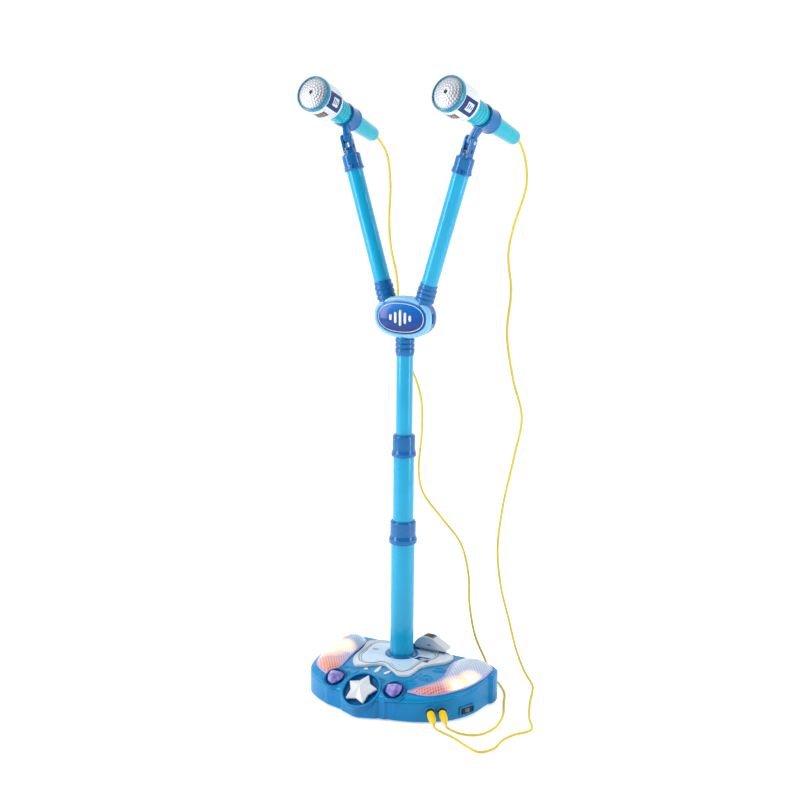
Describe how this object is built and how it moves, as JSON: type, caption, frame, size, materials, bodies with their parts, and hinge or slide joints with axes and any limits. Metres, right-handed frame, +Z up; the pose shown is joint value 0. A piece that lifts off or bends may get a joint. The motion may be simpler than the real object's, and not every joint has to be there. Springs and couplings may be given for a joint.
{
  "type": "toy microphone stand",
  "caption": "Children's karaoke toy: telescopic pole on a light-up base with push buttons, a hub with two arms, and a tilting microphone on each arm with its own cord.",
  "frame": {"origin": "on the floor under the pole's axis, at the underside of the base's centre foot", "axes": "+Z up along the pole, -Y to the front (the star button's side), +X to the right as seen from the front"},
  "size_m": [0.3896, 0.2865, 0.9358],
  "materials": {
    "base_blue": "glossy",
    "white": "glossy",
    "azure": "glossy",
    "cyan": "glossy",
    "teal": "satin",
    "rim_blue": "glossy",
    "navy": "glossy",
    "lens": "clear with a fine diamond texture",
    "lilac": "faceted",
    "cord_yellow": "smooth",
    "plug_yellow": "smooth",
    "grille": "dimpled",
    "steel": "plain",
    "board": "matte",
    "dark": "matte",
    "rubber": "matte",
    "cell": "satin"
  },
  "bodies": {
    "base": {"base_top_shell": "base_blue", "base_bottom_cover": "base_blue", "battery_door": "base_blue", "battery_1": "cell", "battery_2": "cell", "battery_3": "cell", "splash_plate": "white", "pole_socket": "azure", "lens_left": "lens", "lens_right": "lens", "lamp_strip_left": "board", "lamp_strip_right": "board", "circuit_board": "board", "speaker": "dark", "jack_left": "dark", "jack_right": "dark", "foot_front_left": "rubber", "foot_front_right": "rubber", "foot_rear_left": "rubber", "foot_rear_right": "rubber", "foot_centre": "rubber", "switch_housing": "dark", "lower_tube": "cyan", "lower_collar": "azure", "plug_left": "plug_yellow", "plug_right": "plug_yellow", "cord_left": "cord_yellow", "cord_right": "cord_yellow"},
    "pole_mid": {"middle_tube": "cyan", "upper_collar": "azure"},
    "head": {"upper_tube": "cyan", "hub_front": "rim_blue", "hub_rear": "rim_blue", "hub_badge": "navy", "hub_socket": "azure", "arm_socket_left": "azure", "arm_socket_right": "azure", "arm_left": "cyan", "arm_right": "cyan", "arm_collar_left": "azure", "arm_collar_right": "azure", "fork_left": "azure", "fork_right": "azure", "tilt_pin_left": "steel", "tilt_pin_right": "steel"},
    "mic_left": {"mic_clip_left": "azure", "mic_grille_left": "grille", "mic_bezel_left": "teal", "mic_band_left": "white", "mic_handle_left": "cyan"},
    "mic_right": {"mic_clip_right": "azure", "mic_grille_right": "grille", "mic_bezel_right": "teal", "mic_band_right": "white", "mic_handle_right": "cyan"},
    "star_button": {"star_button": "white"},
    "gem_left": {"gem_button_left": "lilac"},
    "gem_right": {"gem_button_right": "lilac"},
    "pedal": {"pedal": "white"},
    "power_switch": {"power_switch": "dark"}
  },
  "joints": [
    {"name": "lower_extension", "type": "slide", "parent": "base", "child": "pole_mid", "axis": [0, 0, 1], "range_m": [-0.09, 0], "deforming": ["cord_left", "cord_right"]},
    {"name": "upper_extension", "type": "slide", "parent": "pole_mid", "child": "head", "axis": [0, 0, 1], "range_m": [-0.11, 0]},
    {"name": "mic_tilt_left", "type": "hinge", "parent": "head", "child": "mic_left", "pos_m": [-0.10261, 0, 0.84485], "axis": [0.9537, 0.0872, 0.2879], "range_deg": [-25, 35]},
    {"name": "mic_tilt_right", "type": "hinge", "parent": "head", "child": "mic_right", "pos_m": [0.10261, 0, 0.84485], "axis": [0.9289, -0.2419, -0.2804], "range_deg": [-25, 35]},
    {"name": "star_press", "type": "slide", "parent": "base", "child": "star_button", "axis": [0, 0.5878, -0.809], "range_m": [0, 0.0025], "stiffness_N_per_m": 500, "springref_m": -0.001},
    {"name": "gem_press_left", "type": "slide", "parent": "base", "child": "gem_left", "axis": [0, 0.5299, -0.848], "range_m": [0, 0.0018], "stiffness_N_per_m": 500, "springref_m": -0.001},
    {"name": "gem_press_right", "type": "slide", "parent": "base", "child": "gem_right", "axis": [0, 0.5299, -0.848], "range_m": [0, 0.0018], "stiffness_N_per_m": 500, "springref_m": -0.001},
    {"name": "pedal_press", "type": "hinge", "parent": "base", "child": "pedal", "pos_m": [0.01, 0.033, 0.0595], "axis": [0, 1, 0], "range_deg": [0, 2], "stiffness_Nm_per_rad": 0.4, "springref_deg": -2.86},
    {"name": "power_slide", "type": "slide", "parent": "base", "child": "power_switch", "axis": [0.4067, 0.9135, 0], "range_m": [-0.004, 0.004]}
  ]
}
